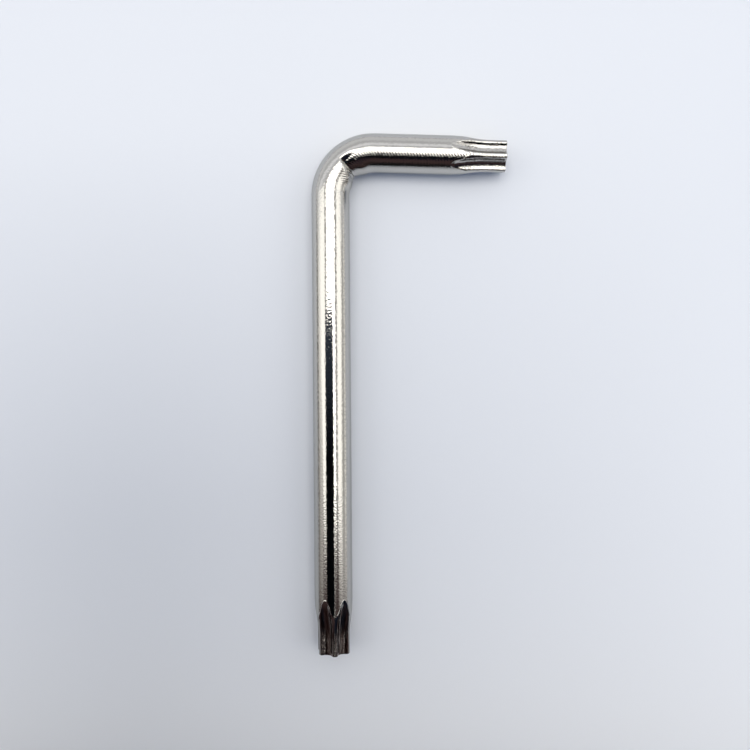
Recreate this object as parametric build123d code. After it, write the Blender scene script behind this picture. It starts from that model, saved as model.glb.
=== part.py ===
from build123d import *
import os
from math import acos, cos, degrees, pi, radians, sin, sqrt, tan

# A double-ended six-lobe key: one round rod, bent cold into two legs, with a six-lobe
# driving tip formed on each end. It lies flat on z = 0. The long leg runs towards -Y,
# the short leg towards +X, and the origin is under the middle of the key's outline.
# All sizes are in millimetres, and all angles named here are in degrees.

# The rod and its two legs. A leg is measured along itself, from the outside of the bend
# to its end face. The legs close in a little past square.
ROD_DIAMETER = 5.0
LONG_LEG = 68.0
SHORT_LEG = 25.3
LEG_ANGLE = 88.0

# The bend is tighter than the rod can take smoothly, so its inside has buckled into a fold
# on the diagonal: a notch, deepest half way up the rod and gone at its crown and its foot.
INNER_RADIUS = 3.1
FOLD_DEPTH = 0.45
FOLD_ANGLE = 70.0

# The six-lobe tips, of driving size 25. Each is turned down to the circle round its lobes,
# which leaves a narrow land on every crest, and six flutes run in from the end face:
# at full depth first, and then out to the rod's surface on an arc. The tips were formed
# one at a time, so their top lobes lean a little differently towards the inside of the bend.
LOBES = 6
LOBE_CIRCLE = 4.5
LOBE_RADIUS = 0.373
VALLEY_RADIUS = 0.92
CREST_TRIM = 0.02
FULL_DEPTH_LENGTH = 2.2
RUNOUT_RADIUS = 13.7
LONG_LOBE_TURN = 7.0
SHORT_LOBE_TURN = 14.0
END_CHAMFER = 0.15

# How far a cutter reaches past the rod, on every open side.
CUTTER_REACH = 1.0

# Worked out from the sizes above.
ROD_RADIUS = ROD_DIAMETER / 2
AXIS_RADIUS = INNER_RADIUS + ROD_RADIUS
OUTER_RADIUS = INNER_RADIUS + ROD_DIAMETER
TURN = radians(180 - LEG_ANGLE)
HALF_PITCH = pi / LOBES
CREST_RADIUS = LOBE_CIRCLE / 2 + CREST_TRIM
LOBE_CENTRE = CREST_RADIUS - LOBE_RADIUS
ARC_SUM = LOBE_RADIUS + VALLEY_RADIUS
VALLEY_CENTRE = LOBE_CENTRE * cos(HALF_PITCH) + sqrt(ARC_SUM**2 - (LOBE_CENTRE * sin(HALF_PITCH)) ** 2)
ROOT_RADIUS = VALLEY_CENTRE - VALLEY_RADIUS


def around(radius, angle):
    """The point at this radius, turned from +Y towards +X by an angle in radians."""
    return Vector(radius * sin(angle), radius * cos(angle))


def flute_profile():
    """The section of one flute, with its valley facing +Y: a valley arc between two lobe arcs."""
    valley = Vector(0, VALLEY_CENTRE)
    lobe = around(LOBE_CENTRE, HALF_PITCH)
    crest = around(CREST_RADIUS, HALF_PITCH)
    join = valley + (lobe - valley) * (VALLEY_RADIUS / ARC_SUM)
    flank = lobe + ((join - lobe) + (crest - lobe)).normalized() * LOBE_RADIUS
    top = ROD_RADIUS + CUTTER_REACH
    left_join = Vector(-join.X, join.Y)
    left_flank = Vector(-flank.X, flank.Y)
    left_crest = Vector(-crest.X, crest.Y)
    outline = Curve() + [
        ThreePointArc(left_join, Vector(0, ROOT_RADIUS), join),
        ThreePointArc(join, flank, crest),
        Polyline(crest, Vector(crest.X, top), Vector(-crest.X, top), left_crest),
        ThreePointArc(left_crest, left_flank, left_join),
    ]
    return make_face(outline)


def flute_cutter(full_depth_from):
    """One flute's cutter on a leg along +Z: straight to the end, and an arc out of the rod."""
    profile = Pos(0, 0, full_depth_from) * flute_profile()
    straight = extrude(profile, FULL_DEPTH_LENGTH + CUTTER_REACH)
    pivot = Axis((0, ROOT_RADIUS + RUNOUT_RADIUS, full_depth_from), (1, 0, 0))
    rise = ROD_RADIUS - ROOT_RADIUS + CUTTER_REACH
    swing = degrees(acos(1 - rise / RUNOUT_RADIUS))
    return straight + revolve(profile, pivot, swing)


def turned_ring(full_depth_from):
    """What is turned off a leg along +Z to leave the lobes' circle, its run-out and its chamfer."""
    radius = LOBE_CIRCLE / 2
    end = full_depth_from + FULL_DEPTH_LENGTH
    outside = ROD_RADIUS + CUTTER_REACH
    # The flutes' crests rise by their cutters' swing times this cosine, and so does the ring.
    ring_arc = RUNOUT_RADIUS / cos(HALF_PITCH)
    swing = acos(1 - (outside - radius) / ring_arc)
    arc_points = [
        Vector(radius + ring_arc * (1 - cos(angle)), 0, full_depth_from - ring_arc * sin(angle))
        for angle in (0, swing / 2, swing)
    ]
    outline = Curve() + [
        ThreePointArc(*arc_points),
        Polyline(
            arc_points[2],
            Vector(outside, 0, end + CUTTER_REACH),
            Vector(radius - END_CHAMFER - CUTTER_REACH, 0, end + CUTTER_REACH),
            Vector(radius, 0, end - END_CHAMFER),
            arc_points[0],
        ),
    ]
    return revolve(make_face(outline), Axis.Z)


def leg(length, turn):
    """A straight leg along +Z with +Y up, its tip's top lobe turned by this angle towards +X."""
    full_depth_from = length - FULL_DEPTH_LENGTH
    rod = extrude(Circle(ROD_RADIUS), length)
    cutter = flute_cutter(full_depth_from)
    pitch = 360 / LOBES
    flutes = [Rot(Z=pitch * (count + 0.5) - turn) * cutter for count in range(LOBES)]
    return rod - turned_ring(full_depth_from) - flutes


def bend_plane(angle, reach):
    """The upright plane across the rod, this far round from the long leg and this far out."""
    outwards = Vector(-cos(angle), sin(angle), 0)
    along = Vector(sin(angle), cos(angle), 0)
    return Plane(origin=outwards * reach, x_dir=outwards, z_dir=along)


def bend():
    """The bent stretch: the rod's section, swung about the bend's centre from leg to leg."""
    section = bend_plane(0, AXIS_RADIUS) * Circle(ROD_RADIUS)
    return revolve(section, Axis((0, 0, 0), (0, 0, -1)), degrees(TURN))


def fold():
    """The fold's cutter: a ring with a V edge, round enough to meet the rod at its crown and its foot."""
    bottom = ROD_RADIUS - FOLD_DEPTH
    shift = (ROD_RADIUS**2 - bottom**2) / (2 * bottom)
    edge = shift + bottom
    rim = edge + CUTTER_REACH
    spread = CUTTER_REACH * tan(radians(FOLD_ANGLE / 2))
    profile = make_face(Polyline((edge, 0, 0), (rim, 0, spread), (rim, 0, -spread), close=True))
    return bend_plane(TURN / 2, AXIS_RADIUS + shift).location * revolve(profile, Axis.Z)


def six_lobe_key():
    """The whole key about the bend's centre, then set down with its origin under its middle."""
    long_end = bend_plane(0, AXIS_RADIUS)
    long_leg = Plane(origin=long_end.origin, x_dir=-long_end.x_dir, z_dir=-long_end.z_dir)
    short_leg = bend_plane(TURN, AXIS_RADIUS)
    key = bend() + long_leg.location * leg(LONG_LEG - OUTER_RADIUS, LONG_LOBE_TURN)
    key += short_leg.location * leg(SHORT_LEG - OUTER_RADIUS, -SHORT_LOBE_TURN)
    key -= fold()
    box = key.bounding_box()
    return Pos(-box.center().X, -box.center().Y, ROD_RADIUS) * key


os.makedirs("parts", exist_ok=True)
export_step(six_lobe_key(), "parts/six_lobe_key.step")
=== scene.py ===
import math

import bpy
import numpy as np
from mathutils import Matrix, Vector


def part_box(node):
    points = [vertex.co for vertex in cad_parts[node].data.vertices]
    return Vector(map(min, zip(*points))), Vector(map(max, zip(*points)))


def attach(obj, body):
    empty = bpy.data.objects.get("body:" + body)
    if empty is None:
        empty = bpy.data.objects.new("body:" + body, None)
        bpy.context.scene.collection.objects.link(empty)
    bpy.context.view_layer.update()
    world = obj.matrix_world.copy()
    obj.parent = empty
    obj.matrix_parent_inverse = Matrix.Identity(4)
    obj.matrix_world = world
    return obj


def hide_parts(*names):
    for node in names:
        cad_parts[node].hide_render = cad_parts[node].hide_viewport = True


# The looks of the double-ended six-lobe key: its plated surface as one fine mesh, a pale table,
# and soft light from a bright room. Lengths are in millimetres until a mesh is made, which is
# in metres, like the frame.

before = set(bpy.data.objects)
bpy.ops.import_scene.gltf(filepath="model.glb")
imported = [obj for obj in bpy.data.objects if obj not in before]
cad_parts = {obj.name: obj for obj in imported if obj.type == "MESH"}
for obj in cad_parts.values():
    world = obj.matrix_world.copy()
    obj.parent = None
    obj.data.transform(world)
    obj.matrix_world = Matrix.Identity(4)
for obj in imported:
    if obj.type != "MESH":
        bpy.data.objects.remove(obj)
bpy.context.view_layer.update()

MM = 0.001
NODE = "six_lobe_key"
ROD_PLACE = "rod_place"
OUTSIDE_FLUTES = "outside_flutes"

# The rod, the bend and the tips, as the part's source has them.
INNER_RADIUS = 3.1
LEG_ANGLE = 88.0
LOBES = 6
LOBE_CIRCLE = 4.5
LOBE_RADIUS = 0.373
VALLEY_RADIUS = 0.92
CREST_TRIM = 0.02
FULL_DEPTH_LENGTH = 2.2
RUNOUT_RADIUS = 13.7
LONG_LOBE_TURN = 7.0
SHORT_LOBE_TURN = 14.0
END_CHAMFER = 0.15

# How finely the key's mesh is divided: round the rod, along the tips and the rest of the legs,
# along the bend, whose rings crowd at the fold, and from the middle of an end face outwards.
ROUND_STEPS = 192
TIP_STEP = 0.1
TIP_SPAN = 8.0
ROD_STEP = 0.8
BEND_STEPS = 150
BEND_CROWDING = 1.6
FACE_HOLE = 0.15
FACE_RINGS = 6
ROUNDING_RINGS = 5

# How far the edges are rounded: round an end face, and along the crests of a tip, which are
# softer past a stretch that is measured from the end face.
END_ROUNDING = 0.1
CREST_SOFTNESS = 0.09
RUNOUT_SOFTNESS = 0.14
SOFTENING = (3.0, 6.0)

# The fold on the inside of the bend, and how far it reaches along each leg. At the crown it is a
# long gentle slope on the short leg's side and a thin steep flank on the long leg's, and on the
# inside it reaches about as far along both. The metal bulges on both sides of it, and it has
# wrinkles on the long leg's side.
FOLD_DEPTH = 0.45
CROWN_SHORT_REACH = 3.0
CROWN_LONG_REACH = 0.35
INNER_SHORT_REACH = 2.0
INNER_LONG_REACH = 1.6
BULGE_HEIGHT = 0.1
BULGE_PLACE = 1.25
BULGE_WIDTH = 0.5
WRINKLE_HEIGHT = 0.06
WRINKLE_PITCH = 0.45
WRINKLE_PLACE = 0.35
WRINKLE_SPREAD = 0.5

# Where round the rod the fold, the bulges and the wrinkles set in and where they are complete,
# with 0 at the crown and the foot and 1 at the very inside, and how late they fade at the legs.
FOLD_ONSET = (-0.2, 0.1)
BULGE_ONSET = (0.55, 0.9)
WRINKLE_ONSET = (0.5, 0.8)
FADE_POWER = 6

# The plating's colours: the nickel, the painted shade in its flutes, and its tint where it is seen
# edge-on. Its roughness follows a faint grime, and is a little more in the flutes.
NICKEL_COLOUR = (0.52, 0.515, 0.495)
FLUTE_SHADE_COLOUR = (0.10, 0.062, 0.055)
EDGE_TINT = (0.72, 0.72, 0.72)
GRIME_SCALE = 0.9
ROUGHNESS = (0.03, 0.13)
FLUTE_ROUGHNESS = 0.04

# The grinding marks, which cross the inner side of the bend and of the short leg on a slant. They
# grow over this run from the start of the bend, and set in between these places inwards.
GRIND_SLANT = -0.6
GRIND_PITCH = 0.38
GRIND_WANDER = 2.0
GRIND_WANDER_SCALE = 1.5
GRIND_DEPTH = 0.0055
GRIND_RUN_IN = 3.0
GRIND_ONSET = (-0.2, 0.3)

# The orange peel, which is fainter towards the long leg's tip, and the longer waves under it.
PEEL_SCALE = 5.0
PEEL_DEPTH = 0.011
PEEL_AT_TIP = 0.4
PEEL_GROWTH = (5.0, 20.0)
WAVE_SCALE = 0.5
WAVE_DEPTH = 0.004

# The tips: how far from an end face their marks fade, the soft edge of a flute, the drawn lines
# and the mottle in it, and the lip along it. Its painted shade, for the dark that the flutes mirror,
# is in streaks on the long leg, which are never quite gone, and in spots on the short leg.
TIP_FADE = (7.5, 5.5)
FLUTE_EDGE = (0.05, -0.05)
LINE_STRETCH = (0.15, 1.0, 1.0)
LINE_SCALE = 3.5
MOTTLE_SCALE = 4.0
TIP_DEPTH = 0.03
LIP_HEIGHT = 0.02
LIP_WIDTH = 0.07
STREAK_EDGE = (0.56, 0.42)
STREAK_FAINTEST = 0.55
SPOT_EDGE = (0.53, 0.62)
SPOT_STRENGTH = 0.5

# The camera looks straight down, from this far above the rod's axis. Its clip is in metres.
CAMERA_HEIGHT = 98.7
CAMERA_OFFSET = (-4.6, 2.3)
CAMERA_ROLL = 0.44
VIEW_HALF_WIDTH_RATIO = 0.5
SENSOR_WIDTH = 36.0
CLIP_START = 0.001
CLIP_END = 10.0

# The table, and how much of its gloss is held back. Its grain is per metre.
TABLE_COLOUR = (0.80, 0.83, 0.88)
TABLE_HALF_WIDTH = 1500
TABLE_CORNER = 1
TABLE_IOR = 1.5
SHEEN_START = 0.045
GRAIN_SCALE = 1500.0
GRAIN_DEPTH = 0.01
TABLE_ROUGHNESS = (0.12, 0.22)

# The phone that took the picture, whose camera is near its upper right corner. It glows a little
# more towards its upper end, and lets part of the soft light through to the table.
PHONE_LOW = (-83.0, -72.0)
PHONE_HIGH = (9.5, 20.0)
PHONE_CORNER = 12.0
PHONE_OVER_CAMERA = 2.0
PHONE_GLOW_COLOUR = (0.75, 1.0, 1.4)
PHONE_GLOW = (0.002, 0.052)
PHONE_GLOW_RISE = (-20.0, 20.0)
SHADE_PASSED = 0.65

# A dark card beyond the lower edge of the picture, hidden from the camera and from reflections,
# there only to cast shade on the table towards -Y; its blue colour tints that shade.
SHADE_CARD_COLOUR = (0.05, 0.09, 0.2)
SHADE_CARD_LOW = (-200.0, -260.0)
SHADE_CARD_HIGH = (78.0, -56.0)
SHADE_CARD_HEIGHT = 35.0
SHADE_CARD_CORNER = 20.0

# How many points each rounded corner of a sheet has.
CORNER_POINTS = 12

# The room's light as the plating and as the table get it.
ROOM_GAIN = 1.35
FLOOR_GAIN = 1.11
CEILING_TINT = (1.03, 1.0, 0.95)
WALL_TINT = (1.0, 1.0, 1.02)

# From here on the room is laid out by the angle to the side, in degrees from straight up towards
# +X, by the angle to the front, towards +Y, and by the y part of a direction. A band is its middle,
# half its width and the width of its soft edges. Any other pair is where a smooth change starts
# and where it ends.

# The ceiling: dark at its left end, with two steps up to full light, and ending on the right in a
# dimmer part with a bright rim. The right end is further in where it is nearer to the shade.
CEILING_DARKEST = 0.1
LEFT_OUTER_STEP = (-90.0, -78.0)
LEFT_OUTER_RISE = 0.75
LEFT_INNER_STEP = (-80.0, -56.0)
LEFT_INNER_RISE = 0.62
RIGHT_END = (78.0, 62.0)
RIGHT_DRAWN_IN = 5.0
RIGHT_DRAWN_IN_BY_Y = -20.0
RIGHT_DRAWN_IN_TO_Y = 0.1
RIGHT_DIMMEST = 0.42
RIGHT_RIM = (77.0, 86.0)
RIGHT_RIM_RISE = 0.38

# The ceiling's lamp, and a dark gap on each side of it with what is left of the light there.
LAMP_SIDE = (0.0, 20.0, 5.0)
LAMP_Y = (0.095, 0.215, 0.05)
LAMP_GAIN = 1.6
LEFT_GAP = (-30.0, 2.0, 5.0)
LEFT_GAP_LIGHT = 0.3
RIGHT_GAP = (31.0, 2.5, 5.0)
RIGHT_GAP_LIGHT = 0.28

# The far wall: its light, the bands to the front that are lighter or darker by this much, and
# where it meets the ceiling, which is lower at the sides.
WALL_LIGHT = 0.66
WALL_BANDS = (((39.0, 3.0, 9.0), 0.2), ((27.0, 2.0, 5.0), -0.1), ((57.0, 4.0, 8.0), -0.12))
WALL_EDGE = (-0.06, 0.08)
WALL_START_MIDDLE = 0.34
WALL_START_SIDES = 0.2
WALL_LOWERING = (20.0, 85.0)

# The shade towards -Y: where it is whole and where it ends, how both shift at the left, at the
# right and beside the phone, and how steeply the light sets in at the middle and at the left.
SHADE_START = -0.33
SHADE_END = -0.17
SHADE_LEFT = (-50.0, -64.0)
LEFT_END_SHIFT = 0.28
SHADE_RIGHT = (28.0, 40.0)
RIGHT_START_SHIFT = -0.09
BESIDE_PHONE = (8.0, 3.0, 2.0)
BESIDE_START_SHIFT = -0.14
BESIDE_END_SHIFT = -0.18
MIDDLE_POWER = 3.0
LEFT_POWER = 1.0

# The shade's colours as the plating mirrors them, and the last one as the table gets it. Colours
# with a side's name are seen towards that side, and steps and bands with a Y are by the y part.
BROWN = (0.05, 0.031, 0.031)
LEFT_GREY = (0.2, 0.18, 0.17)
LEFT_GREY_STEP = (-35.0, -75.0)
RIGHT_GREY = (0.45, 0.43, 0.42)
RIGHT_GREY_STEP = (35.0, 65.0)
BROWN_STEP_Y = (-0.25, -0.33)
BLUE_BLACK = (0.007, 0.009, 0.016)
BLUE_BLACK_Y = (-0.55, 0.15, 0.05)
BLUE_BLACK_SIDE = (-3.0, 2.0)
BLACK = (0.01, 0.01, 0.01)
BLACK_STEP_Y = (-0.92, -0.96)
SHADE_ON_TABLE = (0.19, 0.255, 0.40)

low, high = (np.array(corner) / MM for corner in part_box(NODE))
ROD_RADIUS = (high[2] - low[2]) / 2
AXIS_HEIGHT = low[2] + ROD_RADIUS
AXIS_RADIUS = INNER_RADIUS + ROD_RADIUS
OUTER_RADIUS = INNER_RADIUS + 2 * ROD_RADIUS
TURN = math.radians(180 - LEG_ANGLE)
HALF_PITCH = math.pi / LOBES
CREST_RADIUS = LOBE_CIRCLE / 2 + CREST_TRIM
LOBE_CENTRE = CREST_RADIUS - LOBE_RADIUS
ARC_SUM = LOBE_RADIUS + VALLEY_RADIUS
VALLEY_CENTRE = LOBE_CENTRE * math.cos(HALF_PITCH) + math.sqrt(
    ARC_SUM**2 - (LOBE_CENTRE * math.sin(HALF_PITCH)) ** 2
)
UP = np.array([0.0, 0.0, 1.0])
LONG_STRAIGHT = high[1] - OUTER_RADIUS - low[1]


def soft_min(a, b, width):
    """The lesser of two, with the corner between them rounded over this width."""
    near = np.maximum(width - np.abs(a - b), 0) / width
    return np.minimum(a, b) - near**2 * width / 4


def soft_step(value, start, end):
    """0 before start, 1 after end, and smooth between."""
    t = np.clip((value - start) / (end - start), 0, 1)
    return t * t * (3 - 2 * t)


def flute_radius(theta, lift):
    """How far the flutes' cutters are from the axis at an angle from a valley, lifted by this much."""
    side = np.abs(theta)
    valley = VALLEY_CENTRE + lift
    lobe_x = LOBE_CENTRE * math.sin(HALF_PITCH)
    lobe_y = LOBE_CENTRE * math.cos(HALF_PITCH) + lift
    crest = np.arctan2(CREST_RADIUS * math.sin(HALF_PITCH), CREST_RADIUS * math.cos(HALF_PITCH) + lift)
    share = VALLEY_RADIUS / ARC_SUM
    join = np.arctan2(lobe_x * share, valley + (lobe_y - valley) * share)
    in_valley = np.minimum(side, join)
    on_lobe = np.clip(side, join, crest)
    floor = valley * np.cos(in_valley) - np.sqrt(VALLEY_RADIUS**2 - (valley * np.sin(in_valley)) ** 2)
    reach = np.hypot(lobe_x, lobe_y)
    bearing = on_lobe - np.arctan2(lobe_x, lobe_y)
    chord = np.maximum(LOBE_RADIUS**2 - (reach * np.sin(bearing)) ** 2, 0)
    lobe = reach * np.cos(bearing) + np.sqrt(chord)
    past_crest = np.maximum(side - crest, 0)
    return np.where(side < join, floor, lobe) + past_crest


def tip_surfaces(theta, from_end, turn):
    """How far the flutes and the turned ring are from the axis, at angles from straight up, and how
    softly they meet."""
    along = np.maximum(from_end - FULL_DEPTH_LENGTH, 0)
    lift = RUNOUT_RADIUS - np.sqrt(RUNOUT_RADIUS**2 - along**2)
    ring_arc = RUNOUT_RADIUS / math.cos(HALF_PITCH)
    ring = LOBE_CIRCLE / 2 + ring_arc - np.sqrt(ring_arc**2 - along**2)
    softening = soft_step(from_end, *SOFTENING)
    softness = CREST_SOFTNESS + (RUNOUT_SOFTNESS - CREST_SOFTNESS) * softening
    turned = soft_min(ring, ROD_RADIUS, softness)
    from_valley = theta - math.radians(turn) - HALF_PITCH
    pitch = 2 * HALF_PITCH
    from_valley = np.mod(from_valley + HALF_PITCH, pitch) - HALF_PITCH
    return flute_radius(from_valley, lift), turned, softness


def spaced(start, end, step):
    """Evenly spaced stations from start to end, at most this far apart, without the end."""
    count = max(2, math.ceil(abs(end - start) / step))
    return np.linspace(start, end, count, endpoint=False)


def leg_stations(length):
    """Distances from a leg's end face, from the tip to the bend."""
    fine = spaced(END_ROUNDING, TIP_SPAN, TIP_STEP)
    coarse = spaced(TIP_SPAN, length, ROD_STEP)
    return np.concatenate([fine, coarse, [length]])


def straight_rings(end, way, inward, length, turn):
    """The rings of points round a leg, from its end face to the bend, and how far outside the flutes
    each of their points is."""
    theta = around_rod()
    flutes, turned, softness = tip_surfaces(theta, np.zeros(ROUND_STEPS), turn)
    radius = soft_min(flutes, turned, softness)
    rings = []
    for share in np.linspace(FACE_HOLE, 1, FACE_RINGS, endpoint=False):
        face = ring_points(end, inward, (radius - END_ROUNDING) * share, theta)
        rings.append((face, flutes - turned))
    for part in np.linspace(0, math.pi / 2, ROUNDING_RINGS, endpoint=False):
        inset = END_ROUNDING * (1 - math.sin(part))
        depth = END_ROUNDING * (1 - math.cos(part))
        edge = ring_points(end - way * depth, inward, radius - inset, theta)
        rings.append((edge, flutes - turned))
    for from_end in leg_stations(length):
        # The run-out has left the rod by the end of the tip's span, and its arcs are followed no further.
        on_tip = np.full(ROUND_STEPS, min(from_end, TIP_SPAN))
        flutes, turned, softness = tip_surfaces(theta, on_tip, turn)
        radius = soft_min(flutes, turned, softness)
        rings.append((ring_points(end - way * from_end, inward, radius, theta), flutes - turned))
    return rings


def around_rod():
    """The angles of a ring's points, from straight up towards the inside of the bend."""
    return np.linspace(0, 2 * math.pi, ROUND_STEPS, endpoint=False)


def ring_points(centre, inward, radius, theta):
    """Points round a centre, each at its own radius, from straight up towards the inside of the bend."""
    return centre + np.outer(radius * np.sin(theta), inward) + np.outer(radius * np.cos(theta), UP)


def fold_depth(theta, along):
    """How deep the fold is at an angle round the rod, this far along it towards the short leg."""
    inner = np.sin(theta)
    pressed = FOLD_DEPTH * soft_step(inner, *FOLD_ONSET)
    towards_inside = np.clip(inner, 0, 1)
    short_reach = CROWN_SHORT_REACH + (INNER_SHORT_REACH - CROWN_SHORT_REACH) * towards_inside
    long_reach = CROWN_LONG_REACH + (INNER_LONG_REACH - CROWN_LONG_REACH) * towards_inside
    reach = np.where(along > 0, short_reach, long_reach)
    fold = pressed * np.maximum(1 - np.abs(along) / reach, 0) ** 2
    bulge = BULGE_HEIGHT * np.exp(-(((np.abs(along) - BULGE_PLACE) / BULGE_WIDTH) ** 2))
    wrinkled = np.exp(-(((along + WRINKLE_PLACE) / WRINKLE_SPREAD) ** 2))
    wrinkles = WRINKLE_HEIGHT * np.cos(2 * math.pi * along / WRINKLE_PITCH)
    bulged = soft_step(inner, *BULGE_ONSET) * bulge
    return fold - bulged + soft_step(inner, *WRINKLE_ONSET) * wrinkled * wrinkles


def bend_rings(centre):
    """The rings round the bend between the two legs, ends left out, closest together at the fold."""
    theta = around_rod()
    rings = []
    for part in np.linspace(-1, 1, BEND_STEPS + 1)[1:-1]:
        from_fold = math.copysign(abs(part) ** BEND_CROWDING, part) * TURN / 2
        angle = TURN / 2 + from_fold
        ray = np.array([-math.cos(angle), math.sin(angle), 0.0])
        along = from_fold * (AXIS_RADIUS - ROD_RADIUS * np.sin(theta))
        radius = ROD_RADIUS - (1 - abs(part) ** FADE_POWER) * fold_depth(theta, along)
        ring = ring_points(centre + ray * AXIS_RADIUS, -ray, radius, theta)
        rings.append((ring, np.full(ROUND_STEPS, ROD_RADIUS)))
    return rings


def key_rings():
    """All rings of the key, from the long leg's end face to the short leg's, and both faces' middles."""
    centre = np.array([low[0] + OUTER_RADIUS, high[1] - OUTER_RADIUS, AXIS_HEIGHT])
    long_way = np.array([0.0, -1.0, 0.0])
    long_inward = np.array([1.0, 0.0, 0.0])
    long_end = centre - long_inward * AXIS_RADIUS + long_way * LONG_STRAIGHT
    short_way = np.array([math.sin(TURN), math.cos(TURN), 0.0])
    short_side = np.array([-math.cos(TURN), math.sin(TURN), 0.0])
    short_start = centre + short_side * AXIS_RADIUS
    tip_half = (LOBE_CIRCLE / 2 - END_CHAMFER) * short_side[0]
    short_length = (high[0] - tip_half - short_start[0]) / short_way[0]
    short_end = short_start + short_way * short_length
    long_rings = straight_rings(long_end, long_way, long_inward, LONG_STRAIGHT, LONG_LOBE_TURN)
    short_rings = straight_rings(short_end, short_way, -short_side, short_length, SHORT_LOBE_TURN)
    return long_rings + bend_rings(centre) + short_rings[::-1], long_end, short_end


def key_mesh():
    """The whole key as one closed mesh of quads, with a fan at the middle of each end face."""
    rings, long_end, short_end = key_rings()
    points = np.concatenate([ring for ring, _ in rings] + [[long_end], [short_end]]) * MM
    steps = ROUND_STEPS
    count = len(rings)
    faces = []
    for ring in range(count - 1):
        for step in range(steps):
            a = ring * steps + step
            b = ring * steps + (step + 1) % steps
            faces.append((a, b, b + steps, a + steps))
    last = (count - 1) * steps
    for step in range(steps):
        following = (step + 1) % steps
        faces.append((count * steps, following, step))
        faces.append((count * steps + 1, last + step, last + following))
    mesh = bpy.data.meshes.new("key_surface")
    mesh.from_pydata(points.tolist(), [], faces)
    mesh.polygons.foreach_set("use_smooth", [True] * len(mesh.polygons))
    mark_rod_place(mesh, rings)
    mesh.update()
    return mesh


def mark_rod_place(mesh, rings):
    """Gives each point its place on the straightened rod, in millimetres: along it, inwards and up.
    Each also gets how far outside the flutes it is."""
    theta = around_rod()
    crowns = np.array([ring.mean(axis=0) for ring, _ in rings])
    steps = np.linalg.norm(np.diff(crowns, axis=0), axis=1)
    along = np.concatenate([[0], np.cumsum(steps)])
    section = np.column_stack([ROD_RADIUS * np.sin(theta), ROD_RADIUS * np.cos(theta)])
    places = [np.column_stack([np.full(ROUND_STEPS, distance), section]) for distance in along]
    places = np.concatenate(places + [[[0, 0, 0]], [[along[-1], 0, 0]]])
    attribute = mesh.attributes.new(ROD_PLACE, "FLOAT_VECTOR", "POINT")
    attribute.data.foreach_set("vector", places.ravel())
    outside = np.concatenate([apart for _, apart in rings] + [[0, 0]])
    mesh.attributes.new(OUTSIDE_FLUTES, "FLOAT", "POINT").data.foreach_set("value", outside)


class Graph:
    """Makes the shader nodes of a material or a world. Most calls return the socket that comes out."""

    # The places of the factor and the two colours, and of the mixed colour, among a Mix node's sockets.
    MIX_INPUTS = (0, 6, 7)
    MIX_OUTPUT = 2

    def __init__(self, owner):
        owner.use_nodes = True
        self.tree = owner.node_tree
        self.tree.nodes.clear()

    def node(self, kind, inputs=(), **settings):
        """A node of this kind. Each of its inputs is linked to a socket or set to a value."""
        made = self.tree.nodes.new(kind)
        for name, value in settings.items():
            setattr(made, name, value)
        for name, value in dict(inputs).items():
            if isinstance(value, bpy.types.NodeSocket):
                self.tree.links.new(value, made.inputs[name])
            else:
                made.inputs[name].default_value = value
        return made

    def math(self, operation, *values):
        return self.node("ShaderNodeMath", enumerate(values), operation=operation).outputs[0]

    def between(self, share, first, last):
        """The number at this share of the way from the first to the last."""
        return self.math("MULTIPLY_ADD", share, last - first, first)

    def step(self, value, start, end):
        """0 before start, 1 after end, and smooth between."""
        inputs = {"Value": value, "From Min": start, "From Max": end}
        return self.node("ShaderNodeMapRange", inputs, interpolation_type="SMOOTHSTEP").outputs[0]

    def band(self, value, middle, half_width, edge):
        """1 inside a band and 0 outside it."""
        distance = self.math("ABSOLUTE", self.math("SUBTRACT", value, middle))
        return self.step(distance, half_width + edge, half_width)

    def mix(self, factor, a, b):
        """The colour a, with this factor of the colour b."""
        colours = [value if isinstance(value, bpy.types.NodeSocket) else (*value, 1.0) for value in (a, b)]
        inputs = dict(zip(self.MIX_INPUTS, (factor, *colours)))
        return self.node("ShaderNodeMix", inputs, data_type="RGBA").outputs[self.MIX_OUTPUT]

    def tinted(self, value, tint):
        """This brightness in a tint."""
        shares = [self.math("MULTIPLY", value, share) for share in tint]
        return self.node("ShaderNodeCombineColor", enumerate(shares)).outputs[0]

    def mix_shaders(self, share, a, b):
        """The shader a, with this share of the shader b."""
        return self.node("ShaderNodeMixShader", {0: share, 1: a, 2: b}).outputs[0]

    def show(self, kind, shader):
        """Sends the shader to an output of this kind."""
        self.node(kind, {"Surface": shader})

    def attribute(self, name):
        return self.node("ShaderNodeAttribute", attribute_name=name).outputs

    def place(self):
        """The place on the object, in metres."""
        return self.node("ShaderNodeTexCoord").outputs["Object"]

    def parts(self, vector):
        """The x, y and z of a vector."""
        return self.node("ShaderNodeSeparateXYZ", {0: vector}).outputs[:3]

    def stretched(self, vector, factors):
        """The same place with each of its parts times a factor."""
        return self.node("ShaderNodeVectorMath", {0: vector, 1: factors}, operation="MULTIPLY").outputs[0]

    def noise(self, vector, scale, detail=2.0, roughness=0.5):
        inputs = {"Vector": vector, "Scale": scale, "Detail": detail, "Roughness": roughness}
        return self.node("ShaderNodeTexNoise", inputs).outputs["Fac"]

    def bump(self, height, distance, normal=None):
        inputs = {"Height": height, "Distance": distance, "Strength": 1.0}
        if normal is not None:
            inputs["Normal"] = normal
        return self.node("ShaderNodeBump", inputs).outputs["Normal"]


def tip_share(graph):
    """1 on both tips and 0 between them, by the place in the frame."""
    x, y, _ = graph.parts(graph.place())
    on_long_tip = graph.step(y, *[(low[1] + inset) * MM for inset in TIP_FADE])
    on_short_tip = graph.step(x, *[(high[0] - inset) * MM for inset in TIP_FADE])
    return graph.math("MAXIMUM", on_long_tip, on_short_tip)


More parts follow.
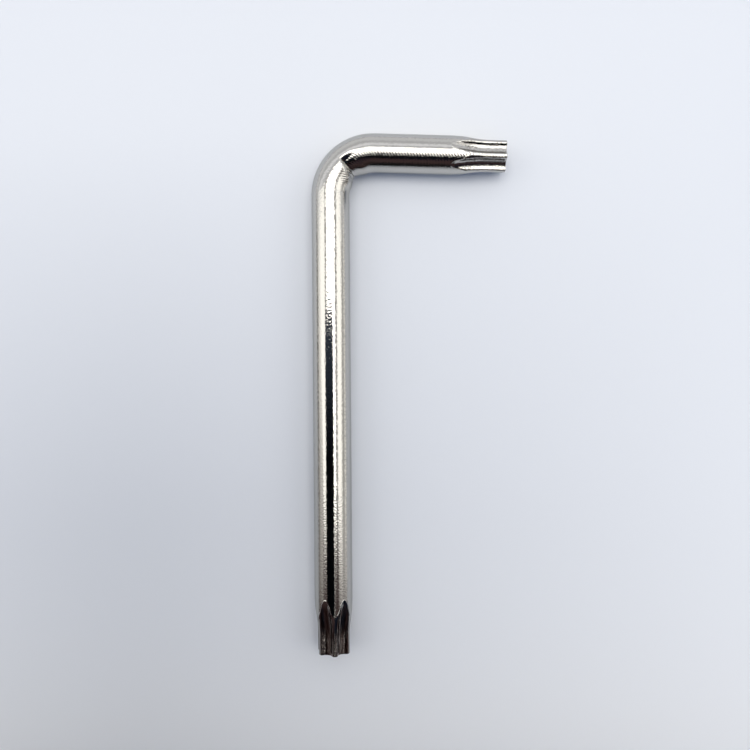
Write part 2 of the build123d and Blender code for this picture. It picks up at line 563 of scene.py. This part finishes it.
def plating_normal(graph, rod_place, on_short, in_flute, outside, lines, mottle):
    """The normal over grinding marks, orange peel, waves, the flutes' own marks and their lips."""
    along, inwards, _ = graph.parts(rod_place)
    slanted = graph.math("MULTIPLY_ADD", inwards, GRIND_SLANT, along)
    wander = graph.math("MULTIPLY", graph.noise(rod_place, GRIND_WANDER_SCALE, detail=1.0), GRIND_WANDER)
    turns = graph.math("MULTIPLY_ADD", slanted, 2 * math.pi / GRIND_PITCH, wander)
    grind = graph.math("MULTIPLY", graph.math("SINE", turns), on_short)
    grind = graph.math("MULTIPLY", grind, graph.step(inwards, *GRIND_ONSET))
    peel = graph.noise(rod_place, PEEL_SCALE, detail=0.0)
    growth = graph.between(graph.step(along, *PEEL_GROWTH), PEEL_AT_TIP, 1.0)
    waves = graph.noise(rod_place, WAVE_SCALE, detail=1.0)
    normal = graph.bump(grind, GRIND_DEPTH * MM)
    normal = graph.bump(graph.math("MULTIPLY", peel, growth), PEEL_DEPTH * MM, normal)
    normal = graph.bump(waves, WAVE_DEPTH * MM, normal)
    tips = graph.math("MULTIPLY", graph.math("ADD", lines, mottle), in_flute)
    normal = graph.bump(tips, TIP_DEPTH * MM, normal)
    return graph.bump(graph.band(outside, LIP_WIDTH, 0, LIP_WIDTH), LIP_HEIGHT * MM, normal)


def flute_shade_share(graph, on_short, in_flute, lines, mottle):
    """How much painted shade darkens the plating, for the dark that the flutes mirror: in streaks
    in the long leg's flutes, in spots in the short leg's.
    """
    streaks = graph.between(graph.step(lines, *STREAK_EDGE), STREAK_FAINTEST, 1.0)
    spots = graph.math("MULTIPLY", graph.step(mottle, *SPOT_EDGE), SPOT_STRENGTH)
    spotted = graph.math("MULTIPLY", graph.math("SUBTRACT", spots, streaks), on_short)
    return graph.math("MULTIPLY", graph.math("ADD", spotted, streaks), in_flute)


def nickel_material():
    """Bright nickel plate over a ground rod: a light orange peel, regular grinding marks on the inner
    side of the short leg, and flutes with drawn lines, a mottled skin and painted shade."""
    material = bpy.data.materials.new("nickel_plate")
    graph = Graph(material)
    rod_place = graph.attribute(ROD_PLACE)["Vector"]
    outside = graph.attribute(OUTSIDE_FLUTES)["Fac"]
    on_short = graph.step(graph.parts(rod_place)[0], LONG_STRAIGHT, LONG_STRAIGHT + GRIND_RUN_IN)
    in_flute = graph.math("MULTIPLY", tip_share(graph), graph.step(outside, *FLUTE_EDGE))
    lines = graph.noise(graph.stretched(rod_place, LINE_STRETCH), LINE_SCALE, detail=2.0, roughness=0.6)
    mottle = graph.noise(rod_place, MOTTLE_SCALE, detail=3.0, roughness=0.6)
    # How far the flutes are painted darker, as shade for the dark that they mirror.
    flute_shaded = flute_shade_share(graph, on_short, in_flute, lines, mottle)
    roughness = graph.between(graph.noise(rod_place, GRIME_SCALE, detail=4.0), *ROUGHNESS)
    shader = graph.node("ShaderNodeBsdfPrincipled", {
        # Painted shade: the base colour is darkened towards brown in the flutes.
        "Base Color": graph.mix(flute_shaded, NICKEL_COLOUR, FLUTE_SHADE_COLOUR),
        "Metallic": 1.0,
        "Specular Tint": (*EDGE_TINT, 1.0),
        "Roughness": graph.math("MULTIPLY_ADD", in_flute, FLUTE_ROUGHNESS, roughness),
        "Normal": plating_normal(graph, rod_place, on_short, in_flute, outside, lines, mottle),
    })
    graph.show("ShaderNodeOutputMaterial", shader.outputs[0])
    return material


def make_key():
    """The key's own piece, which stands for the CAD node."""
    key = bpy.data.objects.new("key_body", key_mesh())
    bpy.context.scene.collection.objects.link(key)
    key.data.materials.append(nickel_material())
    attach(key, "root")
    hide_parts(NODE)


def table_material():
    """A pale, faintly blue, satin table top."""
    material = bpy.data.materials.new("table_top")
    graph = Graph(material)
    grain = graph.noise(graph.place(), GRAIN_SCALE, detail=3.0)
    roughness = graph.between(grain, *TABLE_ROUGHNESS)
    normal = graph.bump(grain, GRAIN_DEPTH * MM)
    body = graph.node("ShaderNodeBsdfDiffuse", {"Color": (*TABLE_COLOUR, 1.0), "Normal": normal})
    gloss = graph.node("ShaderNodeBsdfGlossy", {"Roughness": roughness, "Normal": normal})
    share = graph.node("ShaderNodeFresnel", {"IOR": TABLE_IOR}).outputs[0]
    share = graph.math("MAXIMUM", graph.math("SUBTRACT", share, SHEEN_START), 0.0)
    shader = graph.mix_shaders(share, body.outputs[0], gloss.outputs[0])
    graph.show("ShaderNodeOutputMaterial", shader)
    return material


def sheet(name, corners, height, material):
    """A flat face through these corners at a height, in millimetres."""
    mesh = bpy.data.meshes.new(name)
    mesh.from_pydata([(x * MM, y * MM, height * MM) for x, y in corners], [], [range(len(corners))])
    mesh.materials.append(material)
    made = bpy.data.objects.new(name, mesh)
    bpy.context.scene.collection.objects.link(made)
    return made


def rectangle(corner_low, corner_high, corner_radius):
    """The outline of a rectangle with rounded corners."""
    centres = [
        (corner_high[0] - corner_radius, corner_high[1] - corner_radius),
        (corner_low[0] + corner_radius, corner_high[1] - corner_radius),
        (corner_low[0] + corner_radius, corner_low[1] + corner_radius),
        (corner_high[0] - corner_radius, corner_low[1] + corner_radius),
    ]
    outline = []
    for quarter, (x, y) in enumerate(centres):
        for angle in np.radians(90 * quarter + np.linspace(0, 90, CORNER_POINTS)):
            outline.append((x + corner_radius * math.cos(angle), y + corner_radius * math.sin(angle)))
    return outline


def phone_material():
    """Black glass, with a little blue light left in it near its upper end."""
    material = bpy.data.materials.new("phone_black")
    graph = Graph(material)
    y = graph.parts(graph.place())[1]
    rise = graph.step(y, *[edge * MM for edge in PHONE_GLOW_RISE])
    glow = graph.node("ShaderNodeEmission", {
        "Color": (*PHONE_GLOW_COLOUR, 1.0),
        "Strength": graph.between(rise, *PHONE_GLOW),
    })
    # Only part of the room's soft light on the table is held back.
    rays = graph.node("ShaderNodeLightPath").outputs
    passed = graph.math("MULTIPLY", rays["Is Diffuse Ray"], SHADE_PASSED)
    clear = graph.node("ShaderNodeBsdfTransparent")
    shader = graph.mix_shaders(passed, glow.outputs[0], clear.outputs[0])
    graph.show("ShaderNodeOutputMaterial", shader)
    return material


def shade_card_material():
    """A dark blue card, seen only as the shade it casts on the table."""
    material = bpy.data.materials.new("shade_card_dark")
    graph = Graph(material)
    cloth = graph.node("ShaderNodeBsdfDiffuse", {"Color": (*SHADE_CARD_COLOUR, 1.0)})
    graph.show("ShaderNodeOutputMaterial", cloth.outputs[0])
    return material


def ceiling_light(graph, side, y):
    """The ceiling's brightness: the lesser of its left and its right side's, with the lamp and the gaps."""
    left = graph.math("MULTIPLY_ADD", graph.step(side, *LEFT_OUTER_STEP), LEFT_OUTER_RISE, CEILING_DARKEST)
    left = graph.math("MULTIPLY_ADD", graph.step(side, *LEFT_INNER_STEP), LEFT_INNER_RISE, left)
    nearness = graph.math("MINIMUM", y, RIGHT_DRAWN_IN_TO_Y)
    drawn_in = graph.math("MULTIPLY_ADD", nearness, RIGHT_DRAWN_IN_BY_Y, RIGHT_DRAWN_IN)
    right = graph.step(graph.math("ADD", side, drawn_in), *RIGHT_END)
    right = graph.math("ADD", right, RIGHT_DIMMEST)
    right = graph.math("MULTIPLY_ADD", graph.step(side, *RIGHT_RIM), RIGHT_RIM_RISE, right)
    light = graph.math("MINIMUM", left, right)
    lamp = graph.math("MULTIPLY", graph.band(side, *LAMP_SIDE), graph.band(y, *LAMP_Y))
    light = graph.math("MULTIPLY_ADD", lamp, LAMP_GAIN, light)
    left_gap = graph.between(graph.band(side, *LEFT_GAP), 1.0, LEFT_GAP_LIGHT)
    right_gap = graph.between(graph.band(side, *RIGHT_GAP), 1.0, RIGHT_GAP_LIGHT)
    return graph.math("MULTIPLY", light, graph.math("MULTIPLY", left_gap, right_gap))


def wall_light(graph, front):
    """The far wall's brightness, in bands."""
    light = WALL_LIGHT
    for band, rise in WALL_BANDS:
        light = graph.math("MULTIPLY_ADD", graph.band(front, *band), rise, light)
    return light


def room_light(graph, side, front, y):
    """The light of the ceiling and the wall, in colour."""
    lowering = graph.step(graph.math("ABSOLUTE", side), *WALL_LOWERING)
    wall_start = graph.between(lowering, WALL_START_MIDDLE, WALL_START_SIDES)
    on_wall = graph.step(graph.math("SUBTRACT", y, wall_start), *WALL_EDGE)
    ceiling = graph.tinted(ceiling_light(graph, side, y), CEILING_TINT)
    return graph.mix(on_wall, ceiling, graph.tinted(wall_light(graph, front), WALL_TINT))


def lit_share(graph, side, y):
    """0 in the shade towards -Y, 1 in the light, and soft between."""
    on_left = graph.step(side, *SHADE_LEFT)
    beside = graph.band(side, *BESIDE_PHONE)
    shade_end = graph.math("MULTIPLY_ADD", on_left, LEFT_END_SHIFT, SHADE_END)
    shade_end = graph.math("MULTIPLY_ADD", beside, BESIDE_END_SHIFT, shade_end)
    shade_start = graph.math("MULTIPLY_ADD", graph.step(side, *SHADE_RIGHT), RIGHT_START_SHIFT, SHADE_START)
    shade_start = graph.math("MULTIPLY_ADD", beside, BESIDE_START_SHIFT, shade_start)
    width = graph.math("SUBTRACT", shade_end, shade_start)
    lit = graph.math("DIVIDE", graph.math("SUBTRACT", y, shade_start), width)
    lit = graph.math("MINIMUM", graph.math("MAXIMUM", lit, 0.0), 1.0)
    return graph.math("POWER", lit, graph.between(on_left, MIDDLE_POWER, LEFT_POWER))


def shaded_colour(graph, side, y):
    """The colour of the room's side towards -Y: brown between two greys, then blue-black and black."""
    colour = graph.mix(graph.step(side, *LEFT_GREY_STEP), BROWN, LEFT_GREY)
    colour = graph.mix(graph.step(side, *RIGHT_GREY_STEP), colour, RIGHT_GREY)
    colour = graph.mix(graph.step(y, *BROWN_STEP_Y), colour, BROWN)
    blue = graph.math("MULTIPLY", graph.band(y, *BLUE_BLACK_Y), graph.step(side, *BLUE_BLACK_SIDE))
    colour = graph.mix(blue, colour, BLUE_BLACK)
    return graph.mix(graph.step(y, *BLACK_STEP_Y), colour, BLACK)


def make_world():
    """A bright room: a ceiling lamp between two dark gaps, a grey far wall, and shade towards -Y."""
    world = bpy.data.worlds.new("room")
    bpy.context.scene.world = world
    graph = Graph(world)
    x, y, z = graph.parts(graph.node("ShaderNodeTexCoord").outputs["Generated"])
    rays = graph.node("ShaderNodeLightPath").outputs
    side = graph.math("DEGREES", graph.math("ARCTAN2", x, z))
    front = graph.math("DEGREES", graph.math("ARCTAN2", y, z))
    shade = graph.mix(rays["Is Diffuse Ray"], shaded_colour(graph, side, y), SHADE_ON_TABLE)
    room = graph.mix(lit_share(graph, side, y), shade, room_light(graph, side, front, y))
    strength = graph.between(rays["Is Diffuse Ray"], ROOM_GAIN, FLOOR_GAIN)
    background = graph.node("ShaderNodeBackground", {"Color": room, "Strength": strength})
    plain = graph.node("ShaderNodeBackground", {"Color": (*TABLE_COLOUR, 1.0), "Strength": 1.0})
    mixed = graph.mix_shaders(rays["Is Camera Ray"], background.outputs[0], plain.outputs[0])
    graph.show("ShaderNodeOutputWorld", mixed)


def make_camera():
    """The camera over the key, looking straight down."""
    data = bpy.data.cameras.new("camera")
    data.sensor_width = SENSOR_WIDTH
    data.lens = SENSOR_WIDTH / 2 / VIEW_HALF_WIDTH_RATIO
    data.clip_start = CLIP_START
    data.clip_end = CLIP_END
    camera = bpy.data.objects.new("camera", data)
    x, y = CAMERA_OFFSET
    camera.location = Vector((x, y, AXIS_HEIGHT + CAMERA_HEIGHT)) * MM
    camera.rotation_euler = (0.0, 0.0, math.radians(-CAMERA_ROLL))
    bpy.context.scene.collection.objects.link(camera)
    bpy.context.scene.camera = camera


def make_stage():
    """The table, the phone over it that shows as a dark band in the plating, and a dark card that only
    casts shade on the table.
    """
    table_low = (-TABLE_HALF_WIDTH, -TABLE_HALF_WIDTH)
    table_high = (TABLE_HALF_WIDTH, TABLE_HALF_WIDTH)
    sheet("table", rectangle(table_low, table_high, TABLE_CORNER), 0.0, table_material())
    phone_height = AXIS_HEIGHT + CAMERA_HEIGHT + PHONE_OVER_CAMERA
    phone = sheet("phone", rectangle(PHONE_LOW, PHONE_HIGH, PHONE_CORNER), phone_height, phone_material())
    phone.visible_camera = False
    # A card hidden from the camera and from reflections, there only to cast shade on the table towards -Y.
    outline = rectangle(SHADE_CARD_LOW, SHADE_CARD_HIGH, SHADE_CARD_CORNER)
    shade_card = sheet("shade_card", outline, SHADE_CARD_HEIGHT, shade_card_material())
    shade_card.visible_camera = False
    shade_card.visible_glossy = False


make_key()
make_stage()
make_world()
make_camera()
bpy.context.scene.view_settings.view_transform = "Standard"
